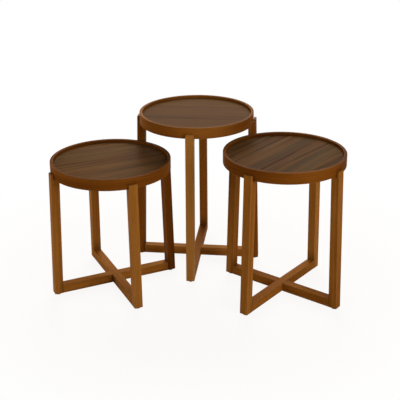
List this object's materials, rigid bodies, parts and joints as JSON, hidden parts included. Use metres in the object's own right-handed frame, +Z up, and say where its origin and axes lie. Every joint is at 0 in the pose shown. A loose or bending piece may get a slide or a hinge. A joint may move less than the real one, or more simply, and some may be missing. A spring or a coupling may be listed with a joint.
{
  "type": "nest of tables",
  "caption": "Nest of round wooden side tables in stepped heights, each with a raised rim, a recessed dark panel, splayed square legs and crossed floor stretchers.",
  "frame": {"origin": "on the floor, at the centre of the group's outer box with the tables set out as pictured", "axes": "+X to the right and +Y away from the viewer in the picture, +Z up"},
  "size_m": [0.9774, 0.701, 0.557],
  "materials": {
    "frame_wood": "satin lacquer over mid-brown stained hardwood",
    "panel_wood": "satin dark brown veneer with straight streaked grain",
    "inner_wood": "bare pale hardwood",
    "screw_steel": "zinc-plated steel",
    "glide_plastic": "matt black-brown moulded plastic"
  },
  "bodies": {
    "tall_table": {"tall_rim": "frame_wood", "tall_panel": "panel_wood", "tall_leg_right": "frame_wood", "tall_leg_back": "frame_wood", "tall_leg_left": "frame_wood", "tall_leg_front": "frame_wood", "tall_stretcher_under": "frame_wood", "tall_stretcher_over": "frame_wood", "tall_dowels": "inner_wood", "tall_leg_screws": "screw_steel", "tall_glue_blocks": "inner_wood", "tall_block_screws": "screw_steel", "tall_glides": "glide_plastic", "tall_glide_nails": "screw_steel"},
    "mid_table": {"mid_rim": "frame_wood", "mid_panel": "panel_wood", "mid_leg_right": "frame_wood", "mid_leg_back": "frame_wood", "mid_leg_left": "frame_wood", "mid_leg_front": "frame_wood", "mid_stretcher_under": "frame_wood", "mid_stretcher_over": "frame_wood", "mid_dowels": "inner_wood", "mid_leg_screws": "screw_steel", "mid_glue_blocks": "inner_wood", "mid_block_screws": "screw_steel", "mid_glides": "glide_plastic", "mid_glide_nails": "screw_steel"},
    "low_table": {"low_rim": "frame_wood", "low_panel": "panel_wood", "low_leg_right": "frame_wood", "low_leg_back": "frame_wood", "low_leg_left": "frame_wood", "low_leg_front": "frame_wood", "low_stretcher_under": "frame_wood", "low_stretcher_over": "frame_wood", "low_dowels": "inner_wood", "low_leg_screws": "screw_steel", "low_glue_blocks": "inner_wood", "low_block_screws": "screw_steel", "low_glides": "glide_plastic", "low_glide_nails": "screw_steel"}
  },
  "joints": [
    {"name": "mid_table_slide", "type": "slide", "parent": "tall_table", "child": "mid_table", "axis": [-0.9336, 0.3584, 0], "range_m": [-0.25, 0.095]},
    {"name": "low_table_slide", "type": "slide", "parent": "tall_table", "child": "low_table", "axis": [0.9511, 0.309, 0], "range_m": [-0.25, 0.045]}
  ]
}
